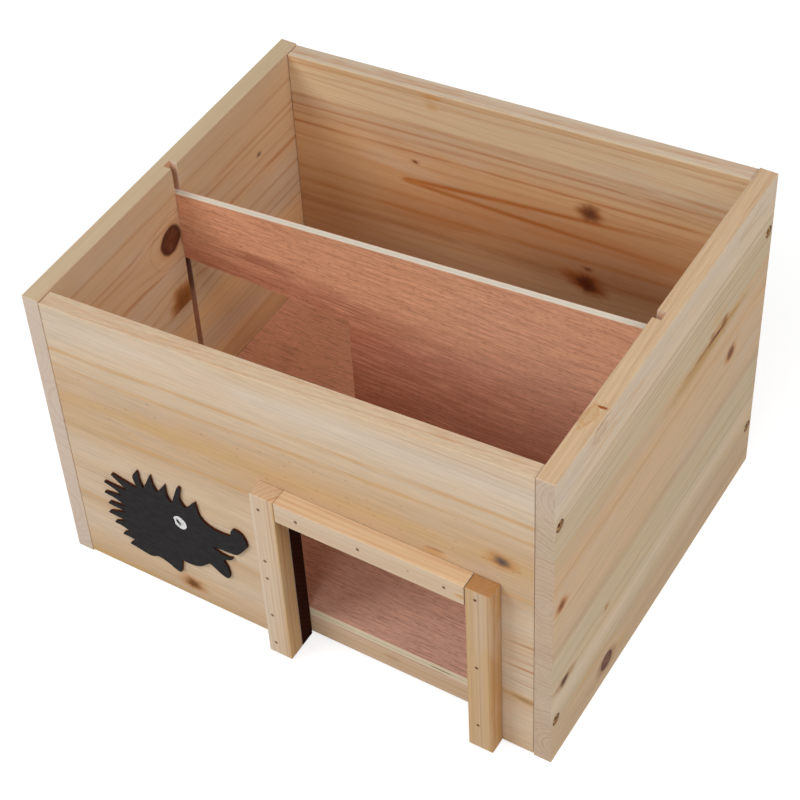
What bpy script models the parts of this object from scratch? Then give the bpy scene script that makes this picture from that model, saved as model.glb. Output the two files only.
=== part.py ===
"""Wooden hedgehog house: an open-topped pine box with a lift-out divider, built as separate pieces.

Metres, +Z up. The origin is on the ground under the middle of the whole object.
+X runs from the low side wall to the high one, and the doorway faces -Y.
"""

import math

import bmesh
import bpy

# Box, over the four walls
WIDTH = 0.450
DEPTH = 0.357
LEFT_HEIGHT = 0.289
RIGHT_HEIGHT = 0.320
BOARD = 0.015

# Front and back walls stand between the side walls, a little off the ground and below their tops
WALL_LIFT = 0.002
WALL_DROP = 0.0015

# Clearance between pieces that touch, how far a cutter passes a face, and the eased board edges
GAP = 0.0003
OVERRUN = 0.005
EDGE_EASE = 0.0004

# Doorway, measured from the front wall's lower edge and from the high side wall
DOOR_WIDTH = 0.1625
DOOR_HEIGHT = 0.1695
DOOR_TO_SIDE = 0.048

# Porch strips round the doorway
STRIP_WIDTH = 0.021
STRIP_DEPTH = 0.015
LINTEL_END_PLAY = 0.0008

# Floor panel and the cleats that carry it
FLOOR_THICKNESS = 0.010
FLOOR_PLAY = 0.0005
CLEAT_HEIGHT = 0.021
CLEAT_DEPTH = 0.015
CLEAT_LIFT = 0.0045

# Divider, its passage and the grooves that hold it
DIVIDER_THICKNESS = 0.006
DIVIDER_SETBACK = 0.177
DIVIDER_DROP_LEFT = 0.027
DIVIDER_DROP_RIGHT = 0.0157
DIVIDER_END_PLAY = 0.001
PASSAGE_WIDTH = 0.1585
PASSAGE_HEIGHT = 0.158
GROOVE_DEPTH = 0.007
LEAD_IN_DEPTH = 0.010
LEAD_IN_FLARE = 0.001
LEAD_IN_STEPS = 4

# Countersunk wood screws through the side walls
SCREW_HEAD_RADIUS = 0.005
SCREW_HEAD_RIM = 0.0003
SCREW_CONE_DEPTH = 0.003
SCREW_SHANK_RADIUS = 0.002
SCREW_LENGTH = 0.040
SCREW_TIP_LENGTH = 0.006
SCREW_SUNK = 0.0008
SCREW_HEAD_PLAY = 0.0005
SCREW_FROM_TOP = 0.048
SCREW_BACK_DROP = 0.005
SCREW_FROM_GROUND = 0.048
SCREW_SIDES = 20

# Cross recess in each screw head
CROSS_SPAN = 0.005
CROSS_SLOT = 0.0011
CROSS_DEPTH = 0.0018
CROSS_FOOT_SHARE = 0.45

# Headless brads in the strips and cleats
BRAD_RADIUS = 0.0008
BRAD_LENGTH = 0.024
BRAD_TAPER = 0.0004
BRAD_SUNK = 0.0004
BRAD_SIDES = 8

# Brad places, as shares of the height or length of the strip that they hold
POST_BRAD_ACROSS_SHARE = 0.33
RIGHT_POST_BRAD_ACROSS_SHARE = 0.40
LEFT_POST_BRAD_SHARES = (0.07, 0.255, 0.495, 0.605, 0.92)
RIGHT_POST_BRAD_SHARES = (0.15, 0.53, 0.95)
LINTEL_BRAD_SHARES = (0.12, 0.45, 0.895)
BACK_CLEAT_BRAD_SHARES = (0.1, 0.5, 0.9)
FRONT_CLEAT_LEFT_SHARES = (0.2, 0.8)
FRONT_CLEAT_RIGHT_SHARES = (0.5,)

# Hedgehog plate on the front wall, between the low side and the porch
PLATE_THICKNESS = 0.002
PLATE_FROM_SIDE = 0.0442
PLATE_FROM_POST = 0.0193
PLATE_HEIGHT = 0.1115
PLATE_ABOVE_GROUND = 0.0307

# The plate's sharp corners are rounded a little, as a cutter leaves them
CORNER_REACH = 0.0013
CORNER_EDGE_SHARE = 0.42
CORNER_LIMIT = math.radians(40)

# Eye, a thin white inlay with a pupil cut through it
EYE_WIDTH = 0.0122
EYE_HEIGHT = 0.0139
EYE_THICKNESS = 0.0008
EYE_PROUD = 0.0002
EYE_PLACE_SHARES = (0.494, 0.536)

# Outlines of the eye and its pupil: each row is one smooth stretch, as shares of the eye's size
EYE_OUTLINE_SHARES = (
    ((0.000, 0.690), (0.070, 0.830), (0.230, 0.940), (0.460, 1.000), (0.745, 0.890), (0.930, 0.720),
     (1.000, 0.470), (0.960, 0.270), (0.810, 0.090), (0.560, 0.000), (0.295, 0.090), (0.100, 0.215)),
    ((0.100, 0.215), (0.080, 0.470), (0.070, 0.610)),
    ((0.070, 0.610), (0.000, 0.690)),
)
PUPIL_OUTLINE_SHARES = (
    ((0.275, 0.700), (0.390, 0.650), (0.450, 0.490), (0.540, 0.370), (0.530, 0.295)),
    ((0.530, 0.295), (0.400, 0.300), (0.275, 0.390), (0.215, 0.540), (0.275, 0.700)),
)

# The plate's outline: each row is one smooth stretch between two corners, as shares of width and height
CURVE_STEPS = 3
HEDGEHOG_OUTLINE_SHARES = (
    # tail
    ((0.120, 0.070), (0.165, 0.140)),
    # low back quills, each as its lower and its upper side
    ((0.165, 0.140), (0.120, 0.148), (0.080, 0.145)),
    ((0.080, 0.145), (0.092, 0.175), (0.140, 0.220)),
    ((0.140, 0.220), (0.087, 0.243), (0.035, 0.248)),
    ((0.035, 0.248), (0.050, 0.275), (0.135, 0.330)),
    ((0.135, 0.330), (0.080, 0.330), (0.000, 0.338)),
    ((0.000, 0.338), (0.018, 0.363), (0.052, 0.385), (0.145, 0.430)),
    # long rear quills
    ((0.145, 0.430), (0.095, 0.438), (0.012, 0.445)),
    ((0.012, 0.445), (0.030, 0.475), (0.080, 0.485), (0.157, 0.495)),
    ((0.157, 0.495), (0.075, 0.540), (0.000, 0.552)),
    ((0.000, 0.552), (0.012, 0.574), (0.080, 0.592), (0.130, 0.605)),
    ((0.130, 0.605), (0.087, 0.645), (0.013, 0.675)),
    ((0.013, 0.675), (0.025, 0.694), (0.092, 0.690), (0.180, 0.688)),
    ((0.180, 0.688), (0.133, 0.742), (0.077, 0.795)),
    ((0.077, 0.795), (0.092, 0.817), (0.145, 0.801), (0.260, 0.770)),
    # crest quills
    ((0.260, 0.770), (0.244, 0.845), (0.240, 0.885), (0.251, 0.922), (0.277, 0.972)),
    ((0.277, 0.972), (0.285, 0.960), (0.289, 0.875), (0.304, 0.802)),
    ((0.304, 0.802), (0.334, 0.884), (0.372, 0.994)),
    ((0.372, 0.994), (0.383, 0.886), (0.402, 0.830)),
    ((0.402, 0.830), (0.446, 0.913), (0.468, 0.956)),
    ((0.468, 0.956), (0.471, 0.838), (0.494, 0.775)),
    ((0.494, 0.775), (0.517, 0.848), (0.552, 0.975), (0.570, 1.000), (0.577, 0.975), (0.561, 0.877),
     (0.579, 0.810), (0.602, 0.803), (0.640, 0.866), (0.670, 0.907)),
    # forehead and snout
    ((0.670, 0.907), (0.674, 0.861), (0.688, 0.768), (0.734, 0.710), (0.812, 0.690), (0.892, 0.700)),
    # nose and upper lip
    ((0.892, 0.700), (0.894, 0.750), (0.917, 0.793), (0.973, 0.770), (1.000, 0.674), (0.977, 0.616),
     (0.922, 0.522), (0.870, 0.503), (0.811, 0.496), (0.748, 0.487)),
    # lower jaw
    ((0.748, 0.487), (0.782, 0.458), (0.847, 0.444), (0.881, 0.457), (0.868, 0.425), (0.809, 0.383)),
    # front leg
    ((0.809, 0.383), (0.835, 0.320), (0.843, 0.236), (0.827, 0.190), (0.786, 0.201), (0.708, 0.271)),
    # belly
    ((0.708, 0.271), (0.631, 0.180), (0.563, 0.156), (0.502, 0.158)),
    # rear leg and back to the tail
    ((0.502, 0.158), (0.494, 0.076), (0.478, 0.000), (0.433, 0.013), (0.399, 0.041), (0.326, 0.069),
     (0.268, 0.035), (0.165, 0.060), (0.120, 0.070)),
)

# Faces that several pieces share
LEFT_FACE = -WIDTH / 2
RIGHT_FACE = WIDTH / 2
LEFT_INSIDE = LEFT_FACE + BOARD
RIGHT_INSIDE = RIGHT_FACE - BOARD
FRONT_FACE = (STRIP_DEPTH + GAP - DEPTH) / 2
BACK_FACE = FRONT_FACE + DEPTH
FRONT_INSIDE = FRONT_FACE + BOARD
BACK_INSIDE = BACK_FACE - BOARD
PORCH_FACE = FRONT_FACE - GAP - STRIP_DEPTH

DOOR_RIGHT = RIGHT_INSIDE - DOOR_TO_SIDE
DOOR_LEFT = DOOR_RIGHT - DOOR_WIDTH
DOOR_TOP = WALL_LIFT + DOOR_HEIGHT
PORCH_TOP = DOOR_TOP + STRIP_WIDTH
FLOOR_UNDERSIDE = CLEAT_LIFT + CLEAT_HEIGHT + GAP
FLOOR_TOP = FLOOR_UNDERSIDE + FLOOR_THICKNESS

DIVIDER_MIDDLE = FRONT_FACE + DIVIDER_SETBACK
DIVIDER_FOOT = FLOOR_TOP + GAP
PASSAGE_RIGHT = LEFT_INSIDE + PASSAGE_WIDTH
PASSAGE_TOP = FLOOR_TOP + PASSAGE_HEIGHT

QUARTER_TURN = math.pi / 2
SMOOTH_LIMIT = math.radians(35)


def principled(name, colour, roughness, metallic=0.0):
    """A plain Principled material in one colour."""
    material = bpy.data.materials.new(name)
    material.use_nodes = True
    shader = material.node_tree.nodes["Principled BSDF"]
    shader.inputs["Base Color"].default_value = (*colour, 1.0)
    shader.inputs["Roughness"].default_value = roughness
    shader.inputs["Metallic"].default_value = metallic
    material.diffuse_color = (*colour, 1.0)
    return material


def pale_pine():
    """Front and back walls: pale planed pine with a warm cast."""
    return principled("pale_pine", (0.60, 0.44, 0.28), 0.65)


def grey_pine():
    """Side walls: the same pine, a little greyer."""
    return principled("grey_pine", (0.55, 0.43, 0.29), 0.68)


def strip_pine():
    """Porch strips and cleats: yellower strip wood."""
    return principled("strip_pine", (0.60, 0.42, 0.24), 0.62)


def floor_plywood():
    """Floor panel: pinkish brown face veneer."""
    return principled("floor_plywood", (0.42, 0.22, 0.15), 0.70)


def divider_plywood():
    """Divider: redder face veneer."""
    return principled("divider_plywood", (0.50, 0.20, 0.11), 0.66)


def black_paint():
    """Hedgehog plate: matt black."""
    return principled("black_paint", (0.020, 0.019, 0.019), 0.75)


def white_enamel():
    """The hedgehog's eye."""
    return principled("white_enamel", (0.82, 0.83, 0.84), 0.40)


def yellow_zinc():
    """Screws with a dull yellow plating."""
    return principled("yellow_zinc", (0.42, 0.33, 0.18), 0.38, 1.0)


def dark_steel():
    """Brads, dark in their holes."""
    return principled("dark_steel", (0.16, 0.13, 0.11), 0.45, 1.0)


def add_object(name, bm, material):
    """Turn a bmesh into a named object with its faces pointing out."""
    bmesh.ops.recalc_face_normals(bm, faces=bm.faces)
    mesh = bpy.data.meshes.new(name)
    bm.to_mesh(mesh)
    bm.free()
    obj = bpy.data.objects.new(name, mesh)
    if material:
        mesh.materials.append(material)
    bpy.context.scene.collection.objects.link(obj)
    return obj


def prism(name, outline, thickness, material=None):
    """A plate with its outline in the X-Z plane, from y = 0 to y = thickness."""
    bm = bmesh.new()
    near = bm.faces.new([bm.verts.new((x, 0, z)) for x, z in outline])
    swept = bmesh.ops.extrude_face_region(bm, geom=[near])
    moved = [item for item in swept["geom"] if isinstance(item, bmesh.types.BMVert)]
    bmesh.ops.translate(bm, verts=moved, vec=(0, thickness, 0))
    return add_object(name, bm, material)


def turned(name, profile, sides, material=None):
    """A solid turned round Z from (radius, z) points; a radius of 0 closes it at a pole."""
    bm = bmesh.new()
    rings = []
    for radius, z in profile:
        if radius == 0:
            rings.append([bm.verts.new((0, 0, z))] * sides)
            continue
        angles = [math.tau * side / sides for side in range(sides)]
        rings.append([bm.verts.new((radius * math.cos(a), radius * math.sin(a), z)) for a in angles])
    for ring, following in zip(rings, rings[1:]):
        for side in range(sides):
            after = (side + 1) % sides
            corners = [ring[side], ring[after], following[after], following[side]]
            bm.faces.new(list(dict.fromkeys(corners)))
    return add_object(name, bm, material)


def place(obj, parent, location, rotation=(0, 0, 0)):
    """Parent an object and set it down; the parents have no rotation of their own."""
    obj.parent = parent
    obj.location = location
    obj.rotation_euler = rotation
    return obj


def ease_edges(obj):
    """Take the sharpness off sawn board edges."""
    bevel = obj.modifiers.new("eased_edges", "BEVEL")
    bevel.width = EDGE_EASE
    bevel.segments = 1
    bevel.limit_method = "ANGLE"


def cut(obj, cutter):
    """Subtract a hidden cutter from an object."""
    cutter.hide_render = True
    cutter.display_type = "WIRE"
    boolean = obj.modifiers.new("cut_" + cutter.name, "BOOLEAN")
    boolean.operation = "DIFFERENCE"
    boolean.solver = "EXACT"
    boolean.object = cutter


def smooth_round(mesh):
    """Shade a turned mesh smooth but keep its rims sharp."""
    mesh.shade_smooth()
    mesh.set_sharp_from_angle(angle=SMOOTH_LIMIT)


def box_outline(width, height):
    """Four corners from the origin to (width, height)."""
    return [(0, 0), (width, 0), (width, height), (0, height)]


def smooth_stretch(points):
    """Catmull-Rom points along one stretch, without its last point."""
    before = [2 * a - b for a, b in zip(points[0], points[1])]
    after = [2 * a - b for a, b in zip(points[-1], points[-2])]
    guides = [before, *points, after]
    made = []
    for a, b, c, d in zip(guides, guides[1:], guides[2:], guides[3:]):
        steps = CURVE_STEPS if len(points) > 2 else 1
        for step in range(steps):
            t = step / steps
            made.append([
                (2 * q + (r - p) * t + (2 * p - 5 * q + 4 * r - s) * t**2
                 + (3 * q - p - 3 * r + s) * t**3) / 2
                for p, q, r, s in zip(a, b, c, d)
            ])
    return made


def outline_from(stretches, width, height):
    """A closed ring in metres from smooth stretches given as shares."""
    shares = [point for stretch in stretches for point in smooth_stretch(stretch)]
    return [(x * width, z * height) for x, z in shares]


def turn_between(before, here, after):
    """How far an outline turns at one of its points."""
    incoming = (here[0] - before[0], here[1] - before[1])
    outgoing = (after[0] - here[0], after[1] - here[1])
    cross = incoming[0] * outgoing[1] - incoming[1] * outgoing[0]
    dot = incoming[0] * outgoing[0] + incoming[1] * outgoing[1]
    return abs(math.atan2(cross, dot))


def rounded_corners(ring):
    """The same ring with three points in place of each sharp corner."""
    made = []
    for before, here, after in zip(ring[-1:] + ring[:-1], ring, ring[1:] + ring[:1]):
        if turn_between(before, here, after) < CORNER_LIMIT:
            made.append(here)
            continue
        ends = []
        for other in (before, after):
            share = min(CORNER_REACH / math.dist(here, other), CORNER_EDGE_SHARE)
            ends.append([a + share * (b - a) for a, b in zip(here, other)])
        crown = [(a + 2 * b + c) / 4 for a, b, c in zip(ends[0], here, ends[1])]
        made += [tuple(ends[0]), tuple(crown), tuple(ends[1])]
    return made


def grown(ring, width, height, margin):
    """A ring stretched about the middle of its box by a margin on every side."""
    across = 1 + 2 * margin / width
    up = 1 + 2 * margin / height
    return [((x - width / 2) * across + width / 2, (z - height / 2) * up + height / 2) for x, z in ring]


def wall_top(x):
    """Height of the front and back walls' sloping top edge at x."""
    along = (x - LEFT_INSIDE) / (RIGHT_INSIDE - LEFT_INSIDE)
    return LEFT_HEIGHT - WALL_DROP + along * (RIGHT_HEIGHT - LEFT_HEIGHT)


def divider_top(x):
    """Height of the divider's sloping top edge at x."""
    low = LEFT_HEIGHT - DIVIDER_DROP_LEFT
    high = RIGHT_HEIGHT - DIVIDER_DROP_RIGHT
    return low + (x - LEFT_INSIDE) / (RIGHT_INSIDE - LEFT_INSIDE) * (high - low)


def make_groove_cutter(name, height, mouth_x, parent):
    """An upright slot for the divider, flared at the top of the wall as a lead-in."""
    half = DIVIDER_THICKNESS / 2 + GAP
    side = [(half, -OVERRUN)]
    for step in range(LEAD_IN_STEPS + 1):
        share = step / LEAD_IN_STEPS
        side.append((half + LEAD_IN_FLARE * share**2, height - LEAD_IN_DEPTH * (1 - share)))
    side.append((half + LEAD_IN_FLARE, height + OVERRUN))
    outline = side + [(-x, z) for x, z in reversed(side)]
    cutter = prism(name, outline, GROOVE_DEPTH + OVERRUN)
    return place(cutter, parent, (mouth_x, DIVIDER_MIDDLE, 0), (0, 0, QUARTER_TURN))


def make_side_wall(name, outer_face, height, groove_mouth, parent, material):
    """A side board over the full depth, with the divider's groove on its inner face."""
    wall = prism(name, box_outline(DEPTH, height), BOARD, material)
    place(wall, parent, (outer_face, FRONT_FACE, 0), (0, 0, QUARTER_TURN))
    ease_edges(wall)
    cut(wall, make_groove_cutter(name + "_groove", height, groove_mouth, parent))
    return wall


def make_left_wall(parent, material):
    """The low side wall."""
    mouth = LEFT_INSIDE + OVERRUN
    return make_side_wall("left_wall", LEFT_INSIDE, LEFT_HEIGHT, mouth, parent, material)


def make_right_wall(parent, material):
    """The high side wall."""
    mouth = RIGHT_INSIDE + GROOVE_DEPTH
    return make_side_wall("right_wall", RIGHT_FACE, RIGHT_HEIGHT, mouth, parent, material)


def make_front_wall(parent, material):
    """The wall with the doorway, which is open at the bottom."""
    left = LEFT_INSIDE + GAP
    right = RIGHT_INSIDE - GAP
    outline = [
        (left, WALL_LIFT), (DOOR_LEFT, WALL_LIFT), (DOOR_LEFT, DOOR_TOP), (DOOR_RIGHT, DOOR_TOP),
        (DOOR_RIGHT, WALL_LIFT), (right, WALL_LIFT), (right, wall_top(right)), (left, wall_top(left)),
    ]
    wall = place(prism("front_wall", outline, BOARD, material), parent, (0, FRONT_FACE, 0))
    ease_edges(wall)
    return wall


def make_back_wall(parent, material):
    """The plain wall opposite the doorway."""
    left = LEFT_INSIDE + GAP
    right = RIGHT_INSIDE - GAP
    outline = [(left, WALL_LIFT), (right, WALL_LIFT), (right, wall_top(right)), (left, wall_top(left))]
    wall = place(prism("back_wall", outline, BOARD, material), parent, (0, BACK_INSIDE, 0))
    ease_edges(wall)
    return wall


def make_floor(parent, material):
    """The floor panel, resting on the two cleats."""
    width = RIGHT_INSIDE - LEFT_INSIDE - 2 * FLOOR_PLAY
    depth = BACK_INSIDE - FRONT_INSIDE - 2 * GAP
    panel = prism("floor_panel", box_outline(width, FLOOR_THICKNESS), depth, material)
    return place(panel, parent, (LEFT_INSIDE + FLOOR_PLAY, FRONT_INSIDE + GAP, FLOOR_UNDERSIDE))


def make_cleat(name, near_face, parent, material):
    """A strip from side to side under the floor."""
    length = RIGHT_INSIDE - LEFT_INSIDE - 2 * GAP
    cleat = prism(name, box_outline(length, CLEAT_HEIGHT), CLEAT_DEPTH, material)
    place(cleat, parent, (LEFT_INSIDE + GAP, near_face, CLEAT_LIFT))
    ease_edges(cleat)
    return cleat


def make_divider(parent, material):
    """The lift-out divider, with a passage at its low end; its parent empty is on the lift's axis."""
    left = LEFT_INSIDE - GROOVE_DEPTH + DIVIDER_END_PLAY
    right = RIGHT_INSIDE + GROOVE_DEPTH - DIVIDER_END_PLAY
    corners = [
        (left, PASSAGE_TOP), (PASSAGE_RIGHT, PASSAGE_TOP), (PASSAGE_RIGHT, DIVIDER_FOOT),
        (right, DIVIDER_FOOT), (right, divider_top(right)), (left, divider_top(left)),
    ]
    outline = [(x, z - DIVIDER_FOOT) for x, z in corners]
    divider = prism("divider", outline, DIVIDER_THICKNESS, material)
    return place(divider, parent, (0, -DIVIDER_THICKNESS / 2, 0))


def make_post(name, left, parent, material):
    """An upright porch strip."""
    post = prism(name, box_outline(STRIP_WIDTH, PORCH_TOP - WALL_LIFT), STRIP_DEPTH, material)
    place(post, parent, (left, PORCH_FACE, WALL_LIFT))
    ease_edges(post)
    return post


def make_lintel(parent, material):
    """The strip between the posts, level with the top of the doorway."""
    width = DOOR_WIDTH - GAP - LINTEL_END_PLAY
    lintel = prism("porch_lintel", box_outline(width, STRIP_WIDTH), STRIP_DEPTH, material)
    place(lintel, parent, (DOOR_LEFT + GAP, PORCH_FACE, DOOR_TOP))
    ease_edges(lintel)
    return lintel


def make_hedgehog(parent, plate_material, eye_material):
    """The silhouette plate and the eye set into it."""
    width = DOOR_LEFT - STRIP_WIDTH - PLATE_FROM_POST - LEFT_FACE - PLATE_FROM_SIDE
    outline = rounded_corners(outline_from(HEDGEHOG_OUTLINE_SHARES, width, PLATE_HEIGHT))
    front = FRONT_FACE - GAP - PLATE_THICKNESS
    corner = (LEFT_FACE + PLATE_FROM_SIDE, PLATE_ABOVE_GROUND)
    plate = prism("hedgehog_plate", outline, PLATE_THICKNESS, plate_material)
    place(plate, parent, (corner[0], front, corner[1]))

    x = corner[0] + EYE_PLACE_SHARES[0] * width
    z = corner[1] + EYE_PLACE_SHARES[1] * PLATE_HEIGHT
    outline = outline_from(EYE_OUTLINE_SHARES, EYE_WIDTH, EYE_HEIGHT)
    depth = EYE_THICKNESS + GAP - EYE_PROUD
    pocket = prism("eye_pocket", grown(outline, EYE_WIDTH, EYE_HEIGHT, GAP), OVERRUN + depth)
    cut(plate, place(pocket, parent, (x, front - OVERRUN, z)))

    eye = prism("hedgehog_eye", outline, EYE_THICKNESS, eye_material)
    place(eye, parent, (x, front - EYE_PROUD, z))
    pupil = outline_from(PUPIL_OUTLINE_SHARES, EYE_WIDTH, EYE_HEIGHT)
    hole = prism("pupil_hole", pupil, EYE_THICKNESS + 2 * OVERRUN)
    cut(eye, place(hole, parent, (x, front - EYE_PROUD - OVERRUN, z)))
    return plate


def make_cross_cutter():
    """The tapered cross recess of a screw head, standing on its narrow foot."""
    arm = CROSS_SPAN / 2
    half = CROSS_SLOT / 2
    quarter = [(arm, -half), (arm, half), (half, half)]
    ring = []
    for turn in range(4):
        angle = turn * QUARTER_TURN
        cosine = math.cos(angle)
        sine = math.sin(angle)
        ring += [(x * cosine - y * sine, x * sine + y * cosine) for x, y in quarter]
    bm = bmesh.new()
    foot = [bm.verts.new((x * CROSS_FOOT_SHARE, y * CROSS_FOOT_SHARE, -CROSS_DEPTH)) for x, y in ring]
    brim = [bm.verts.new((x, y, 0)) for x, y in ring]
    lid = [bm.verts.new((x, y, OVERRUN)) for x, y in ring]
    bm.faces.new(foot)
    bm.faces.new(lid)
    for low, high in ((foot, brim), (brim, lid)):
        for side in range(len(ring)):
            after = (side + 1) % len(ring)
            bm.faces.new([low[side], low[after], high[after], high[side]])
    return add_object("cross_cutter", bm, None)


def make_screw_mesh(material):
    """One countersunk screw along Z, its head's face at z = 0."""
    profile = [
        (0, 0), (SCREW_HEAD_RADIUS, 0), (SCREW_HEAD_RADIUS, -SCREW_HEAD_RIM),
        (SCREW_SHANK_RADIUS, -SCREW_CONE_DEPTH),
        (SCREW_SHANK_RADIUS, SCREW_TIP_LENGTH - SCREW_LENGTH), (0, -SCREW_LENGTH),
    ]
    blank = turned("screw_blank", profile, SCREW_SIDES, material)
    cross = make_cross_cutter()
    cut(blank, cross)
    graph = bpy.context.evaluated_depsgraph_get()
    mesh = bpy.data.meshes.new_from_object(blank.evaluated_get(graph))
    mesh.name = "wall_screw"
    smooth_round(mesh)
    bpy.data.objects.remove(blank)
    bpy.data.objects.remove(cross)
    return mesh


def make_screw_hole(name, parent, location, rotation):
    """The recess, countersink and bore round one screw."""
    radius = SCREW_HEAD_RADIUS + SCREW_HEAD_PLAY
    bore = SCREW_SHANK_RADIUS + GAP
    profile = [
        (0, SCREW_SUNK + OVERRUN), (radius, SCREW_SUNK + OVERRUN), (radius, -SCREW_HEAD_RIM),
        (bore, -SCREW_CONE_DEPTH - GAP), (bore, -SCREW_LENGTH - GAP), (0, -SCREW_LENGTH - GAP),
    ]
    return place(turned(name, profile, SCREW_SIDES), parent, location, rotation)


def add_wall_screws(side_wall, end_walls, side, face, top_height, mesh, parent):
    """Four screws through one side wall: an upper and a lower one into each end wall."""
    outward = 1 if face > 0 else -1
    for end, wall, y, drop in end_walls:
        upper = top_height - SCREW_FROM_TOP - drop
        for level, z in (("upper", upper), ("lower", SCREW_FROM_GROUND)):
            location = (face - outward * SCREW_SUNK, y, z)
            rotation = (0, outward * QUARTER_TURN, 0)
            name = f"screw_{side}_{end}_{level}"
            hole = make_screw_hole(name + "_hole", parent, location, rotation)
            cut(side_wall, hole)
            cut(wall, hole)
            screw = bpy.data.objects.new(name, mesh)
            bpy.context.scene.collection.objects.link(screw)
            place(screw, parent, location, rotation)


def make_brad_mesh(material):
    """One headless brad along Z, its blunt end at z = 0."""
    profile = [
        (0, 0), (BRAD_RADIUS - BRAD_TAPER, 0), (BRAD_RADIUS, -BRAD_TAPER),
        (BRAD_RADIUS, -BRAD_LENGTH + BRAD_TAPER), (0, -BRAD_LENGTH),
    ]
    brad = turned("brad_blank", profile, BRAD_SIDES, material)
    mesh = brad.data
    smooth_round(mesh)
    bpy.data.objects.remove(brad)
    return mesh


def add_brads(name, strip, wall, places, face_y, inward, mesh, parent):
    """Brads from a strip's open face, driven along Y into the wall behind it."""
    rotation = (inward * QUARTER_TURN, 0, 0)
    for number, (x, z) in enumerate(places, start=1):
        location = (x, face_y + inward * BRAD_SUNK, z)
        reach = BRAD_SUNK + OVERRUN
        profile = [
            (0, reach), (BRAD_RADIUS + GAP, reach),
            (BRAD_RADIUS + GAP, -BRAD_LENGTH - GAP), (0, -BRAD_LENGTH - GAP),
        ]
        hole = place(turned(f"{name}_hole_{number}", profile, BRAD_SIDES), parent, location, rotation)
        cut(strip, hole)
        cut(wall, hole)
        brad = bpy.data.objects.new(f"{name}_{number}", mesh)
        bpy.context.scene.collection.objects.link(brad)
        place(brad, parent, location, rotation)


def add_empty(name, location, parent=None):
    """A plain empty that carries the pieces of one body."""
    empty = bpy.data.objects.new(name, None)
    bpy.context.scene.collection.objects.link(empty)
    empty.parent = parent
    empty.location = location
    return empty


def clear_scene():
    """Remove whatever the scene holds."""
    for obj in list(bpy.data.objects):
        bpy.data.objects.remove(obj)


def add_porch(parent, front_wall, material, brad_mesh):
    """Posts and lintel with the brads that hold them."""
    left_post = make_post("porch_post_left", DOOR_LEFT - STRIP_WIDTH, parent, material)
    right_post = make_post("porch_post_right", DOOR_RIGHT, parent, material)
    lintel = make_lintel(parent, material)
    height = PORCH_TOP - WALL_LIFT
    left_x = DOOR_LEFT - STRIP_WIDTH + POST_BRAD_ACROSS_SHARE * STRIP_WIDTH
    right_x = DOOR_RIGHT + RIGHT_POST_BRAD_ACROSS_SHARE * STRIP_WIDTH
    lintel_z = DOOR_TOP + STRIP_WIDTH / 2
    left_places = [(left_x, WALL_LIFT + share * height) for share in LEFT_POST_BRAD_SHARES]
    right_places = [(right_x, WALL_LIFT + share * height) for share in RIGHT_POST_BRAD_SHARES]
    lintel_places = [(DOOR_LEFT + share * DOOR_WIDTH, lintel_z) for share in LINTEL_BRAD_SHARES]
    for name, strip, places in (
        ("brad_left_post", left_post, left_places),
        ("brad_right_post", right_post, right_places),
        ("brad_lintel", lintel, lintel_places),
    ):
        add_brads(name, strip, front_wall, places, PORCH_FACE, 1, brad_mesh, parent)


def add_floor(parent, front_wall, back_wall, wood, plywood, brad_mesh):
    """The floor panel and its two cleats, each bradded to its wall."""
    make_floor(parent, plywood)
    front_y = FRONT_INSIDE + GAP
    back_y = BACK_INSIDE - GAP - CLEAT_DEPTH
    front_cleat = make_cleat("front_cleat", front_y, parent, wood)
    back_cleat = make_cleat("back_cleat", back_y, parent, wood)
    height = CLEAT_LIFT + CLEAT_HEIGHT / 2
    front_x = [LEFT_INSIDE + share * (DOOR_LEFT - LEFT_INSIDE) for share in FRONT_CLEAT_LEFT_SHARES]
    front_x += [DOOR_RIGHT + share * DOOR_TO_SIDE for share in FRONT_CLEAT_RIGHT_SHARES]
    back_x = [LEFT_INSIDE + share * (RIGHT_INSIDE - LEFT_INSIDE) for share in BACK_CLEAT_BRAD_SHARES]
    front_places = [(x, height) for x in front_x]
    back_places = [(x, height) for x in back_x]
    cleat_face = front_y + CLEAT_DEPTH
    add_brads("brad_front_cleat", front_cleat, front_wall, front_places, cleat_face, -1, brad_mesh, parent)
    add_brads("brad_back_cleat", back_cleat, back_wall, back_places, back_y, 1, brad_mesh, parent)


def build():
    """The whole house: the fixed box, and the divider on its own empty."""
    clear_scene()
    house = add_empty("house", (0, 0, 0))
    lift = add_empty("divider_lift", (0, DIVIDER_MIDDLE, DIVIDER_FOOT), house)
    side_wood = grey_pine()
    end_wood = pale_pine()
    strip_wood = strip_pine()

    left_wall = make_left_wall(house, side_wood)
    right_wall = make_right_wall(house, side_wood)
    front_wall = make_front_wall(house, end_wood)
    back_wall = make_back_wall(house, end_wood)
    brad_mesh = make_brad_mesh(dark_steel())
    add_floor(house, front_wall, back_wall, strip_wood, floor_plywood(), brad_mesh)
    add_porch(house, front_wall, strip_wood, brad_mesh)
    make_hedgehog(house, black_paint(), white_enamel())
    make_divider(lift, divider_plywood())

    screw_mesh = make_screw_mesh(yellow_zinc())
    end_walls = (
        ("front", front_wall, FRONT_FACE + BOARD / 2, 0),
        ("back", back_wall, BACK_FACE - BOARD / 2, SCREW_BACK_DROP),
    )
    add_wall_screws(left_wall, end_walls, "left", LEFT_FACE, LEFT_HEIGHT, screw_mesh, house)
    add_wall_screws(right_wall, end_walls, "right", RIGHT_FACE, RIGHT_HEIGHT, screw_mesh, house)


build()
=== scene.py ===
"""Looks of an open-topped pine house for a hedgehog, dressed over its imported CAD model.

Materials are worked out in millimetres from one measuring corner: the left side, the front wall's
face and the ground. Each board's grain is a solid pattern, so rings, knots and stains run through
it from face to face, as they do in sawn timber.
"""

import math
from dataclasses import dataclass, replace

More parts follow.
